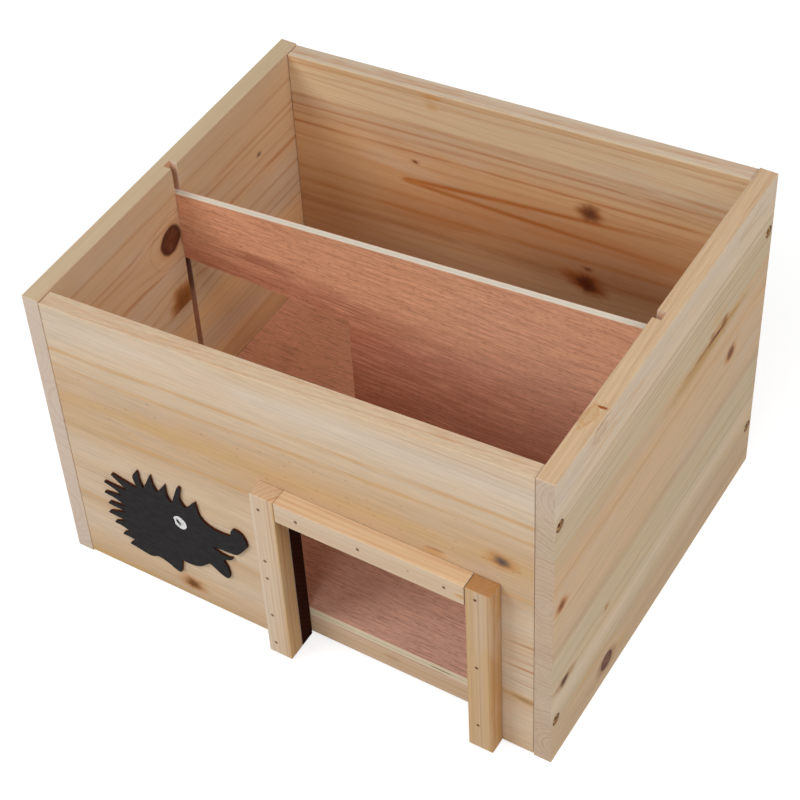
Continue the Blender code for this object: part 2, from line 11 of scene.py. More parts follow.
import bpy
from mathutils import Matrix, Vector


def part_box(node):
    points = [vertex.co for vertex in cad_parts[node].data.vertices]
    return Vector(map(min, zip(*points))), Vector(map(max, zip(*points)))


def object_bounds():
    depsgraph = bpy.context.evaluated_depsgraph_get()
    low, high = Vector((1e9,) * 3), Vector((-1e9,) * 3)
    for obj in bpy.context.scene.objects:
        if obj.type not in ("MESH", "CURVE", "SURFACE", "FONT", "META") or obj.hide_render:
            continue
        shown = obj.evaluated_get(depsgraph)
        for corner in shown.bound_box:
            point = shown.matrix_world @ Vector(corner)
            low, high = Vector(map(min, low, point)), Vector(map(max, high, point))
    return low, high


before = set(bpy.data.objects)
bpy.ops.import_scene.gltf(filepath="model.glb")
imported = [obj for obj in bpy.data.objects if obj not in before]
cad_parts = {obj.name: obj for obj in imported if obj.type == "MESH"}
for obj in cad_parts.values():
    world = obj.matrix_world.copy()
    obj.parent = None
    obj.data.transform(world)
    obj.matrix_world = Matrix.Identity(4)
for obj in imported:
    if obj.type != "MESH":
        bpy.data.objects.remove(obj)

MM = 0.001
CAD_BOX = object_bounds()
CORNER = {
    "x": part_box("left_wall")[0].x,
    "y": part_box("front_wall")[0].y,
    "z": CAD_BOX[0].z,
}

# The camera of the photograph, solved from the corners of the box

CAMERA_PLACE = (0.64527, -0.98873, 1.36637)
CAMERA_AZIMUTH = 33.34
CAMERA_ELEVATION = 46.28
CAMERA_ROLL = -3.43
CAMERA_LENS = 95.38
CAMERA_SENSOR = 36.0

# Light and floor

WHITE = (1.0, 1.0, 1.0, 1.0)
SKY_STRENGTH = 0.14
LAMPS = (
    ("left_lamp", (-1.4, -1.8, 2.2), 42.0),
    ("front_lamp", (0.3, -2.6, 2.0), 27.0),
    ("right_lamp", (2.4, -0.2, 2.0), 43.5),
    ("back_lamp", (-0.4, 2.7, 0.8), 14.0),
)
LAMP_SIZE = 1.6
LIGHT_TARGET = (0.0, 0.0, 0.12)
FLOOR_HALF = 6.0
FLOOR_BOUNCE = 0.6
FLOOR_WHITE = 0.45
FLOOR_GLOW = 0.74
FLOOR_GLOW_NEAR = 0.9
FLOOR_GLOW_FAR = 3.5

# Patterns: how far apart boards lie in the noise, how bold relief is, and how fine a knot's rays are

SEED_STEP = 517.0
RELIEF_STRENGTH = 0.5
KNOT_RAYS = 1.3
CRACK_RAYS = 2.6

# How squarely a face looks along an axis where a face's own colour starts, and where it is full

TOP_FACE = (0.6, 0.95)
END_FACE = (0.55, 0.9)
WALL_FACE = (0.5, 0.8)
THIN_FACE = (0.4, 0.8)

# Single marks, in millimetres: a pair is a middle and half a width, if its name says nothing else

# Reach of the brown ring round each fixing: rust and bruised wood, and round a screw also painted shade.
STAIN_AND_SHADE_REACH = {"screw": 6.5, "brad": 2.0}
DOORWAY_EDGE = 1.5
GROOVE_EDGE = 1.0
GROOVE_STEP = 0.5
GROOVE_KNOT = (182.0, 34.0)
GROOVE_KNOT_RAGGED = 16.0
# Where the band of painted edge light lies below the back wall's sloping top edge.
EDGE_LIGHT_BAND = (5.6, 2.0)
SLIT_ALONG = 78.0
SLIT_HALF_WIDTH = 1.9
SLIT_INWARD = (5.4, 5.5)
SLIVER_BELOW = (2.4, 0.9)
SLIVER_ALONG = (SLIT_ALONG - 10.0, 18.0)
SWIRL_MIDDLE = (SLIT_ALONG - 11.0, 10.0)
SWIRL_RADII = (12.0, 5.0)
SMUDGE_MIDDLE = (SLIT_ALONG - 14.0, 9.0)
SMUDGE_RADII = (11.0, 7.0)

# Shares of a piece's own size: where a panel's veneer starts, from its middle, and the eye's pupil

VENEER_START = 0.42
PUPIL_ASIDE = 0.385
PUPIL_LEAN = 0.42
PUPIL_RADII = (0.17, 0.26)

# Named colours, in steps of 255

FULL_CHANNEL = 255
TONES = {
    "cream": (219, 197, 170), "pale": (222, 204, 184), "blush": (216, 190, 160),
    "rose": (212, 184, 160), "mist": (212, 194, 174), "honey": (210, 174, 128),
    "gold": (206, 170, 122), "tan": (208, 178, 144), "sand": (202, 174, 142),
    "olive": (202, 182, 150), "oat": (196, 170, 138), "amber": (206, 156, 96),
    "clay": (212, 156, 116), "summer": (170, 122, 80), "sienna": (178, 108, 54),
    "straw": (210, 176, 138), "wheat": (222, 196, 158), "apricot": (226, 184, 136),
    "cut_wood": (206, 148, 110), "peel": (216, 184, 144), "warm_straw": (212, 170, 124),
    "pitch": (184, 142, 82), "resin": (190, 126, 66), "ochre": (184, 140, 92),
    "treacle": (128, 78, 32), "sill": (224, 208, 178), "rust": (150, 84, 40),
    "umber": (112, 66, 38), "bark": (74, 40, 28), "cocoa": (98, 56, 40),
    "knot_red": (92, 38, 18), "slate": (92, 80, 76), "end": (210, 190, 170),
    "dull_end": (200, 181, 163), "pale_end": (214, 198, 184), "warm_end": (154, 100, 42),
    "char": (40, 7, 3), "ember": (64, 20, 10), "scorch": (118, 68, 30),
    "red_ply": (219, 160, 124), "bright_ply": (238, 178, 146), "rose_ply": (212, 166, 146),
    # The divider's lower plywood tone, first on the next line, is darkened as painted shade.
    "shaded_ply": (194, 124, 96), "dark_ply": (150, 88, 66), "pore": (132, 62, 46),
    "core": (226, 216, 200), "glue": (160, 140, 112), "ink": (44, 42, 43),
    "soot": (28, 26, 26), "chalk": (232, 232, 232), "ash": (168, 170, 176),
    "brass": (184, 142, 86), "steel": (98, 60, 38), "shade": (24, 16, 10),
}


def linear(channel):
    """One colour channel, from its step of 255 to linear light."""
    share = channel / FULL_CHANNEL
    if share <= 0.04045:
        return share / 12.92
    return ((share + 0.055) / 1.055) ** 2.4


def tone(name):
    return tuple(linear(channel) for channel in TONES[name]) + (1.0,)


def arithmetic(operation, swapped=False):
    """A method of Field: a math node fed by the field and another value, or the other way round."""

    def method(field, other):
        values = (other, field) if swapped else (field, other)
        return field.graph.math(operation, *values)

    return method


class Field:
    """A number or a colour that varies over a surface: one node's output, with arithmetic."""

    def __init__(self, graph, socket):
        self.graph = graph
        self.socket = socket

    def __abs__(self):
        return self.graph.math("ABSOLUTE", self)

    __add__ = arithmetic("ADD")
    __radd__ = arithmetic("ADD", swapped=True)
    __sub__ = arithmetic("SUBTRACT")
    __rsub__ = arithmetic("SUBTRACT", swapped=True)
    __mul__ = arithmetic("MULTIPLY")
    __rmul__ = arithmetic("MULTIPLY", swapped=True)
    __truediv__ = arithmetic("DIVIDE")


class Graph:
    """A material and the nodes behind its colour, roughness and relief."""

    def __init__(self, name, roughness, specular, metallic=0.0):
        self.material = bpy.data.materials.new(name)
        self.material.use_nodes = True
        self.tree = self.material.node_tree
        self.shader = self.tree.nodes["Principled BSDF"]
        self.shader.inputs["Roughness"].default_value = roughness
        self.shader.inputs["Specular IOR Level"].default_value = specular
        self.shader.inputs["Metallic"].default_value = metallic
        coordinates = self.add("ShaderNodeTexCoord")
        self.place = self.split(coordinates.outputs["Object"])
        self.normal = self.split(coordinates.outputs["Normal"])

    def add(self, kind, values=(), **settings):
        """A new node, with its settings and the values or fields that feed its inputs."""
        node = self.tree.nodes.new(kind)
        for key, setting in settings.items():
            setattr(node, key, setting)
        for key, value in dict(values).items():
            self.feed(node.inputs[key], value)
        return node

    def feed(self, socket, value):
        if isinstance(value, Field):
            self.tree.links.new(value.socket, socket)
        else:
            socket.default_value = value

    def split(self, socket):
        node = self.add("ShaderNodeSeparateXYZ")
        self.tree.links.new(socket, node.inputs[0])
        return {axis: Field(self, node.outputs[index]) for index, axis in enumerate("xyz")}

    def math(self, operation, *values):
        node = self.add("ShaderNodeMath", enumerate(values), operation=operation)
        return Field(self, node.outputs[0])

    def vector(self, x, y, z):
        node = self.add("ShaderNodeCombineXYZ", enumerate((x, y, z)))
        return Field(self, node.outputs[0])

    def length(self, first, second):
        return self.math("SQRT", first * first + second * second)

    def rise(self, value, low, high):
        """0 below the low value, 1 above the high one, smooth between them."""
        inputs = {"Value": value, "From Min": low, "From Max": high}
        node = self.add("ShaderNodeMapRange", inputs, interpolation_type="SMOOTHSTEP")
        return Field(self, node.outputs[0])

    def fall(self, value, low, high):
        return 1.0 - self.rise(value, low, high)

    def peak(self, value, centre, half_width):
        """1 at the centre, 0 past the half width on either side."""
        return self.fall(abs(value - centre), 0.0, half_width)

    def spot(self, place, middle, radii):
        """The distance of a place from a spot's middle, which is 1 on the spot's edge."""
        first, second = [(at - centre) / radius for at, centre, radius in zip(place, middle, radii)]
        return self.length(first, second)

    def within(self, value, low, high):
        """1 between the two values and 0 outside them, with hard edges."""
        return self.math("GREATER_THAN", value, low) * self.math("LESS_THAN", value, high)

    def from_corner(self, axis):
        """Millimetres from the measuring corner along an axis."""
        return (self.place[axis] - CORNER[axis]) / MM

    def share(self, node, axis):
        """How far along a node's box a point is, from 0 at its low face to 1 at its high one."""
        low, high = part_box(node)
        start = getattr(low, axis)
        return (self.place[axis] - start) / (getattr(high, axis) - start)

    def orient(self, axes, seed):
        """Sets the directions along the grain, across it and through the piece, in millimetres."""
        measured = [self.from_corner(axis) for axis in axes]
        shifted = [field + seed * SEED_STEP for field in measured]
        self.point = self.vector(*shifted)
        return measured

    def scaled(self, reach):
        node = self.add("ShaderNodeVectorMath", {0: self.point, 1: reach}, operation="DIVIDE")
        return Field(self, node.outputs[0])

    def noise_on(self, vector, detail):
        inputs = {"Vector": vector, "Scale": 1.0, "Detail": detail}
        node = self.add("ShaderNodeTexNoise", inputs)
        return Field(self, node.outputs[0])

    def noise(self, reach, detail=2.0):
        """Soft noise from 0 to 1, in patches about as long as the reach along each grain axis."""
        return self.noise_on(self.scaled(reach), detail)

    def drift(self, number, reach):
        """Noise that changes with one number only, such as the distance from a board's pith."""
        inputs = {"W": number / reach, "Scale": 1.0, "Detail": 1.0}
        node = self.add("ShaderNodeTexNoise", inputs, noise_dimensions="1D")
        return Field(self, node.outputs[0])

    def rays(self, ahead, aside, scale, seed):
        """Noise that changes only with the direction from a middle, so it runs out in rays."""
        flat = self.vector(ahead, aside, 0.0)
        unit = self.add("ShaderNodeVectorMath", {0: flat}, operation="NORMALIZE")
        inputs = {0: Field(self, unit.outputs[0]), 1: (scale, scale, scale), 2: (seed, seed, seed)}
        node = self.add("ShaderNodeVectorMath", inputs, operation="MULTIPLY_ADD")
        return self.noise_on(Field(self, node.outputs[0]), 2.0)

    def specks(self, reach, radius_share, chance):
        """Sparse small spots, one at most in each cell of that reach."""
        inputs = {"Vector": self.scaled(reach), "Scale": 1.0}
        node = self.add("ShaderNodeTexVoronoi", inputs, voronoi_dimensions="2D")
        near = self.fall(Field(self, node.outputs["Distance"]), 0.4 * radius_share, radius_share)
        kept = self.split(node.outputs["Color"])["x"]
        return near * self.math("LESS_THAN", kept, chance)

    def chance(self, number):
        """A fixed random number from 0 to 1 for each whole number."""
        node = self.add("ShaderNodeTexWhiteNoise", {"W": number}, noise_dimensions="1D")
        return Field(self, node.outputs[0])

    def facing(self, axis):
        """How squarely a face looks along an axis, either way."""
        return abs(self.normal[axis])

    def mix(self, factor, first, second):
        """The second colour laid over the first. A colour is a field or the name of a tone."""
        inputs = {0: factor, 6: self.colour(first), 7: self.colour(second)}
        node = self.add("ShaderNodeMix", inputs, data_type="RGBA")
        return Field(self, node.outputs[2])

    def colour(self, value):
        return tone(value) if isinstance(value, str) else value

    def brightened(self, colour, factor):
        node = self.add("ShaderNodeVectorMath", {0: colour, 3: factor}, operation="SCALE")
        return Field(self, node.outputs[0])

    def ramp(self, value, stops):
        """A colour that changes with a value: stops are pairs of a value and a tone's name."""
        low = stops[0][0]
        span = stops[-1][0] - low
        node = self.add("ShaderNodeValToRGB", {0: (value - low) / span})
        elements = node.color_ramp.elements
        while len(elements) < len(stops):
            elements.new(0.5)
        for element, (at, name) in zip(elements, stops):
            element.position = (at - low) / span
            element.color = tone(name)
        return Field(self, node.outputs[0])

    def finish(self, colour, roughness, relief, depth):
        """Feeds the shader its colour, its roughness and a relief, whose depth is in metres."""
        self.feed(self.shader.inputs["Base Color"], colour)
        self.feed(self.shader.inputs["Roughness"], roughness)
        bump = self.add("ShaderNodeBump", {"Strength": RELIEF_STRENGTH, "Distance": depth, "Height": relief})
        self.tree.links.new(bump.outputs[0], self.shader.inputs["Normal"])
        return self.material


@dataclass(frozen=True)
class Strip:
    """One glued strip of a board: where it starts across the grain, and where its pith runs."""

    start: float
    pith_across: float
    pith_through: float
    lean: float = 0.02


@dataclass(frozen=True)
class Knot:
    """A branch cut through: its middle, size and tones, then the reach and strength of its halo.

    Drawn is how far the halo is drawn out along the grain. Solid is the core's full part, in radii.
    Nothing of the knot shows below its joint.
    """

    along: float
    across: float
    radius: float
    stretch: float
    core: str
    rim: str
    halo: str
    reach: float = 2.2
    strength: float = 0.4
    drawn: float = 1.6
    ragged: float = 0.5
    cracks: float = 0.0
    outline: float = 0.0
    joint: float = -1000.0
    solid: float = 0.8


@dataclass(frozen=True)
class Stripe:
    """A bold ring along the whole board, in the board's ring tone unless it names another."""

    level: float
    half_width: float
    strength: float
    tone: str = ""


@dataclass(frozen=True)
class Stain:
    """A soft patch drawn out along the grain."""

    along: float
    across: float
    half_length: float
    half_width: float
    strength: float
    tone: str = "amber"


@dataclass(frozen=True)
class Arch:
    """A bold ring that turns back at a tip, opening along the grain: plus or minus says which way."""

    along: float
    across: float
    sharpness: float
    reach: float
    strength: float
    half_width: float
    opens: float
    tone: str


@dataclass(frozen=True)
class Timber:
    """How one piece was sawn, and what its faces show. Lengths are in millimetres."""

    axes: str
    seed: float
    bands: tuple
    strips: tuple
    ring_width: float
    ring_strength: float
    ring_tone: str = "sienna"
    hair_strength: float = 0.12
    ring_zones: tuple = ()
    middle: float = 0.0
    low_slope: float = 0.0
    high_slope: float = 0.0
    slope_from: float = -2.0
    slope_to: float = -1.0
    wobble: float = 4.0
    stripes: tuple = ()
    knots: tuple = ()
    stains: tuple = ()
    arches: tuple = ()
    end_tone: str = "end"
    end_strength: float = 0.8
    end_rings: float = 0.2
    top_tone: str = ""
    top_rings: float = 0.4
    gloss: float = 0.14
    crispness: float = 1.4
    fleck_level: float = 0.0
    fleck_strength: float = 0.0

    def flow_at(self, along, across):
        """The grain level through a point of the face, by the same smooth step as Graph.rise."""
        share = (across - self.slope_from) / (self.slope_to - self.slope_from)
        share = min(max(share, 0.0), 1.0)
        share = share * share * (3.0 - 2.0 * share)
        slope = self.low_slope + (self.high_slope - self.low_slope) * share
        return across - slope * (along - self.middle)


def grain_flow(graph, timber, along, across):
    """The height of the grain: straight across the board, less the slope that the grain takes."""
    share = graph.rise(across, timber.slope_from, timber.slope_to)
    slope = (timber.high_slope - timber.low_slope) * share + timber.low_slope
    return across - slope * (along - timber.middle)


def pulled(graph, timber, level, along, across):
    """Draws the grain's level together round each knot, as rings part round a branch."""
    for knot in timber.knots:
        ahead = (along - knot.along) / (1.8 * knot.stretch)
        distance = graph.length(ahead, across - knot.across) / knot.radius
        pull = 0.7 * graph.fall(distance, 0.6, 2.6)
        centre = timber.flow_at(knot.along, knot.across)
        level = level + (centre - level) * pull
    return level


def stairs(graph, across, strips, size):
    """A number that is the same all over a strip and changes at its glue joint."""
    total = size(strips[0])
    for before, strip in zip(strips, strips[1:]):
        step = graph.math("GREATER_THAN", across, strip.start)
        total = step * (size(strip) - size(before)) + total
    return total


def patch(graph, timber, stain, flow, along, wander):
    """1 at the middle of a stain's place on the grain, and 0 outside it."""
    aside = (flow - timber.flow_at(stain.along, stain.across)) / stain.half_width
    ahead = (along - stain.along) / stain.half_length
    distance = graph.length(ahead, aside) + wander
    return graph.fall(distance, 0.2, 1.1)


def year_rings(graph, timber, level, along, across, through):
    """How dark the summer wood of the rings is, from 0 to 1: thin lines of uneven width."""
    strips = timber.strips
    aside = level - stairs(graph, across, strips, lambda strip: strip.pith_across)
    depth = through - stairs(graph, across, strips, lambda strip: strip.pith_through)
    depth = depth - stairs(graph, across, strips, lambda strip: strip.lean) * along
    distance = graph.length(aside, depth) + 3.0 * graph.noise((260.0, 30.0, 30.0), 1.0)
    uneven = 2.4 * graph.drift(distance, 5.0 * timber.ring_width)
    years = distance / timber.ring_width + uneven
    age = graph.math("FRACT", years)
    year = graph.math("FLOOR", years)
    summer = graph.rise(age, 0.35, 0.9) * graph.fall(age, 0.92, 1.0)
    draw = graph.chance(year + timber.seed)
    return summer * (0.2 + 0.8 * draw * draw)


def ring_boldness(graph, timber, flow, along):
    """How strongly the rings show: faint over most of a board, bolder in its ring zones."""
    clouds = graph.noise((140.0, 16.0, 16.0))
    boldness = timber.ring_strength * (0.2 + 1.6 * clouds)
    for zone in timber.ring_zones:
        shown = patch(graph, timber, zone, flow, along, 0.0)
        boldness = boldness + zone.strength * shown * (0.4 + 1.2 * clouds)
    return boldness


def with_knots(graph, timber, colour, along, across, streak):
    """Lays each knot's halo, rim, core and cracks over the colour."""
    mottle = graph.rise(graph.noise((3.0, 2.4, 2.4)), 0.42, 0.62)
    for knot in timber.knots:
        ahead = (along - knot.along) / knot.stretch
        aside = across - knot.across
        rays = graph.rays(ahead, aside, KNOT_RAYS, knot.along) - 0.5
        distance = graph.length(ahead, aside) / knot.radius
        near = distance + knot.ragged * rays
        drawn_out = graph.length(ahead / knot.drawn, aside) / knot.radius + 2.0 * knot.ragged * rays
        halo = graph.fall(drawn_out, 0.8, knot.reach) * (0.3 + 1.4 * streak)
        rim = 0.9 * knot.solid * graph.peak(near, 0.86, 0.24)
        core = 0.95 * graph.fall(near, knot.solid, 1.9 - knot.solid)
        outline = knot.outline * graph.peak(drawn_out, 1.9, 0.1)
        above = graph.math("GREATER_THAN", across, knot.joint)
        colour = graph.mix(knot.strength * halo * above, colour, knot.halo)
        colour = graph.mix(outline * above, colour, "summer")
        colour = graph.mix(core * above, colour, graph.mix(0.6 * mottle, knot.core, knot.rim))
        colour = graph.mix(rim * above, colour, knot.rim)
        if knot.cracks:
            spokes = graph.rays(ahead, aside, CRACK_RAYS, knot.across)
            line = graph.peak(spokes, 0.5, 0.02) * graph.fall(near, 0.5, 0.95)
            arcs = graph.peak(graph.math("FRACT", 1.7 * near), 0.6, 0.12)
            line = graph.math("MAXIMUM", line, 0.3 * arcs * graph.fall(near, 0.6, 1.0))
            colour = graph.mix(knot.cracks * line * above, colour, "summer")
    return colour


def with_stains(graph, timber, colour, flow, along, wander):
    """Lays the soft patches over the colour, the narrow ones with more ragged edges."""
    for stain in timber.stains:
        roughness = min(0.8, 5.0 / stain.half_width)
        shown = patch(graph, timber, stain, flow, along, roughness * wander)
        colour = graph.mix(stain.strength * shown, colour, stain.tone)
    return colour


def with_arches(graph, timber, colour, flow, along, streak):
    """Draws each arch: two arms that part behind the tip and fade at their reach."""
    for arch in timber.arches:
        aside = flow - timber.flow_at(arch.along, arch.across)
        ahead = (along - arch.along) * arch.opens
        bend = arch.sharpness * graph.math("POWER", graph.math("MAXIMUM", ahead, 0.0), 0.8)
        line = graph.peak(abs(aside), bend, arch.half_width)
        shown = graph.rise(ahead, -1.0, 6.0) * graph.fall(ahead, 0.4 * arch.reach, arch.reach)
        strength = arch.strength * (0.4 + 1.2 * streak)
        colour = graph.mix(strength * line * shown, colour, arch.tone)
    return colour


def with_fixings(graph, colour, names):
    """A brown ring round each brad or screw: rust and bruised wood, and round a screw also painted shade in
    its counterbore.
    """
    for name in names:
        reach = STAIN_AND_SHADE_REACH[name.split("_")[0]]
        low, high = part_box(name)
        size = high - low
        axis = max("xyz", key=lambda letter: getattr(size, letter))
        sides = [letter for letter in "xyz" if letter != axis]
        offsets = []
        for letter in sides:
            middle = (getattr(low, letter) + getattr(high, letter)) / 2
            offsets.append((graph.place[letter] - middle) / MM)
        # Round a screw this ring is partly painted shade of its recess.
        near = 0.6 * graph.fall(graph.length(*offsets), 0.6 * reach, reach)
        colour = graph.mix(near, colour, "umber")
    return colour


def with_flecks(graph, timber, colour, flow):
    """Small rusty specks near one level of the grain."""
    flecks = graph.specks((24.0, 9.0, 1.0), 0.08, 0.4)
    flecks = flecks * graph.rise(graph.peak(flow, timber.fleck_level, 34.0), 0.0, 0.5)
    return graph.mix(timber.fleck_strength * flecks, colour, "rust")


def with_sawn_edge(graph, timber, colour, rings, streak, hair):
    """The tone of the board's upper edge, with its rings cut lengthwise."""
    up = graph.rise(graph.normal["z"], *TOP_FACE)
    lines = timber.top_rings * (rings + graph.rise(streak, 0.4, 0.7) * (0.3 + hair))
    top = graph.mix(lines, timber.top_tone, timber.ring_tone)
    return graph.mix(0.75 * up, colour, top)


def pine(name, timber, marks=None, fixings=()):
    """Sawn and planed softwood: tone bands, year rings, bold stripes, knots, stains and end grain."""
    graph = Graph(name, 0.66, timber.gloss)
    along, across, through = graph.orient(timber.axes, timber.seed)
    flow = grain_flow(graph, timber, along, across)
    level = flow + timber.wobble * (graph.noise((240.0, 70.0, 70.0)) - 0.5)
    level = pulled(graph, timber, level, along, across)
    rings = year_rings(graph, timber, level, along, across, through)
    lines = rings * ring_boldness(graph, timber, flow, along)
    fibre = graph.noise((26.0, 0.7, 0.7), 3.0)
    streak = graph.noise((90.0, 3.2, 3.2))
    length_cloud = graph.noise((60.0, 5.0, 5.0))
    cloud = graph.noise((110.0, 24.0, 24.0))
    hair = graph.noise((260.0, 1.5, 1.5), 1.0)
    wander = graph.noise((7.0, 5.0, 9.0)) - 0.5

    colour = graph.ramp(level, timber.bands)
    colour = graph.mix(0.3 * graph.rise(cloud, 0.5, 0.75), colour, "honey")
    colour = graph.mix(0.3 * graph.fall(cloud, 0.3, 0.48), colour, "mist")
    colour = graph.mix(0.25 * graph.rise(streak, 0.52, 0.75), colour, "tan")
    colour = graph.mix(timber.hair_strength * graph.rise(hair, 0.5, 0.72), colour, timber.ring_tone)
    for stripe in timber.stripes:
        line = graph.peak(level, stripe.level, stripe.half_width)
        kept = stripe.strength * line * graph.rise(length_cloud, 0.2, 0.6)
        colour = graph.mix(kept, colour, stripe.tone or timber.ring_tone)
    colour = graph.mix(lines, colour, timber.ring_tone)
    if timber.fleck_strength:
        colour = with_flecks(graph, timber, colour, flow)
    colour = with_arches(graph, timber, colour, flow, along, length_cloud)
    colour = with_stains(graph, timber, colour, flow, along, wander)
    colour = with_knots(graph, timber, colour, along, across, length_cloud)
    if timber.top_tone:
        colour = with_sawn_edge(graph, timber, colour, rings, streak, hair)
    end = graph.rise(graph.facing(timber.axes[0]), *END_FACE)
    pores = graph.noise((0.8, 0.5, 0.5))
    end_rings = timber.end_rings * (rings + 0.5 * wander + 0.4 * pores)
    end_wood = graph.mix(end_rings, timber.end_tone, timber.ring_tone)
    colour = graph.mix(timber.end_strength * end, colour, end_wood)
    colour = with_fixings(graph, colour, fixings)
    if marks is not None:
        colour = marks(graph, colour)
    texture = 0.12 * fibre + 0.06 * streak + 0.04 * hair - 0.11
    brightness = 0.97 + 0.08 * cloud + timber.crispness * texture
    colour = graph.brightened(colour, brightness)
    relief = 0.6 * fibre + 0.3 * rings + 0.3 * end * pores
    return graph.finish(colour, 0.6 + 0.12 * fibre, relief, 0.00012)


def scorched_doorway(graph, colour):
    """The sawn faces of the doorway are burnt nearly black, with slanting tool marks."""
    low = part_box("porch_post_left")[1].x
    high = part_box("porch_post_right")[0].x
    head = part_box("porch_lintel")[0].z
    edge = DOORWAY_EDGE * MM
    between = graph.within(graph.place["x"], low - edge, high + edge)
    below = graph.math("LESS_THAN", graph.place["z"], head + edge)
    off_face = graph.fall(graph.facing("y"), *WALL_FACE)
    slant = (graph.place["z"] + graph.place["y"]) / MM
    teeth = 0.5 + 0.5 * graph.math("SINE", 1.1 * slant)
    burnt = graph.mix(teeth * graph.noise((3.0, 3.0, 3.0), 1.0), "char", "ember")
    return graph.mix(0.98 * between * below * off_face, colour, burnt)


def rough_groove(graph, colour):
    """The groove that the divider slides in is redder and darker than the faces beside it."""
    torn = graph.noise((6.0, 6.0, 1.2))
    cut = graph.mix(torn, "cut_wood", "clay")
    return graph.mix(0.5 * in_groove(graph), colour, cut)


def knotty_groove(graph, colour):
    """The left groove is darkest where it cuts through the lower knot."""
    colour = rough_groove(graph, colour)
    height = graph.from_corner("z") + GROOVE_KNOT_RAGGED * graph.noise((4.0, 4.0, 4.0))
    dark = graph.rise(graph.peak(height, *GROOVE_KNOT), 0.0, 0.6)
    return graph.mix(0.5 * dark * in_groove(graph), colour, "knot_red")


def in_groove(graph):
    """1 on the walls and bottom of the divider's grooves, and 0 on the faces beside them."""
    low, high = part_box("divider")
    edge = GROOVE_EDGE * MM
    inner_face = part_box("right_wall")[0].x
    depth = abs(graph.place["x"])
    across = graph.within(graph.place["y"], low.y - edge, high.y + edge)
    return across * graph.within(depth, inner_face + GROOVE_STEP * MM, high.x + edge)


def torn_edge(graph, colour):
    """A splinter lifted from the right wall's upper edge, with a short slit across its top."""
    colour = rough_groove(graph, colour)
    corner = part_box("right_wall")[1]
    along = graph.from_corner("y")
    below = (corner.z - graph.place["z"]) / MM
    inward = (corner.x - graph.place["x"]) / MM
    ragged = graph.noise((6.0, 3.0, 4.0)) - 0.5
    top = graph.rise(graph.normal["z"], *TOP_FACE)
    outer = graph.rise(graph.normal["x"], *WALL_FACE)
    swirl = graph.spot((along, inward), SWIRL_MIDDLE, SWIRL_RADII) + 2.2 * ragged
    colour = graph.mix(0.4 * top * graph.peak(swirl, 0.8, 0.45), colour, "resin")
    colour = graph.mix(0.3 * top * graph.fall(swirl, 0.2, 1.5), colour, "pitch")
    across_slit = graph.peak(along + 3.0 * ragged, SLIT_ALONG, SLIT_HALF_WIDTH)
    slit = across_slit * graph.peak(inward, *SLIT_INWARD)
    colour = graph.mix(top * graph.rise(slit, 0.0, 0.5), colour, "rust")
    sliver = graph.peak(below + 3.0 * ragged, *SLIVER_BELOW) * graph.peak(along, *SLIVER_ALONG)
    colour = graph.mix(0.7 * outer * graph.rise(sliver, 0.0, 0.6), colour, "rust")
    smudge = graph.spot((along, below), SMUDGE_MIDDLE, SMUDGE_RADII) + 1.4 * ragged
    soiled = 0.2 * graph.fall(smudge, 0.3, 1.1) + 0.25 * graph.peak(smudge, 0.85, 0.4)
    return graph.mix(outer * soiled, colour, "summer")


def painted_edge_light(graph, colour):
    """An orange band of painted edge light, in the resin tone, a little below the sloping inner top edge of
    the back wall.
    """
    low_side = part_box("left_wall")[1]
    high_side_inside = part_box("right_wall")[0].x
    high_side_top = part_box("right_wall")[1].z
    slope = (high_side_top - low_side.z) / (high_side_inside - low_side.x)
    high_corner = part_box("back_wall")[1]
    below = (high_corner.z - graph.place["z"] - slope * (high_corner.x - graph.place["x"])) / MM
    front = graph.rise(-1.0 * graph.normal["y"], *WALL_FACE)
    # Painted light: the band stands in for the light caught along the eased top edge, on the face that looks
    # to the front.
    return graph.mix(0.45 * graph.peak(below, *EDGE_LIGHT_BAND) * front, colour, "resin")


@dataclass(frozen=True)
class Sheet:
    """A plywood panel: grain axes, the tones of its faces, and where its thickness lies."""

    axes: str
    seed: float
    node: str
    bands: tuple
    wave: float
    core_marks: tuple
    edge_tone: str = "core"
    stains: tuple = ()
    splits: tuple = ()


def ply_edge(graph, sheet, along, share):
    """The plies seen at a cut edge, where share runs from 0 to 1 through the panel's thickness."""
    veneer = graph.math("GREATER_THAN", abs(share - 0.5), VENEER_START)
    grain = graph.noise((14.0, 0.6, 0.5))
    edge = graph.mix(0.5 * graph.rise(grain, 0.45, 0.7), sheet.edge_tone, "cream")
    for at, half_width, strength in sheet.core_marks:
        line = strength * graph.peak(share, at, half_width) * (0.4 + grain)
        edge = graph.mix(line, edge, "glue")
    for at_along, half_length, at in sheet.splits:
        gap = graph.peak(share, at, 0.12) * graph.rise(graph.peak(along, at_along, half_length), 0.0, 0.4)
        edge = graph.mix(0.9 * gap, edge, "umber")
    return graph.mix(0.6 * veneer, edge, "red_ply")


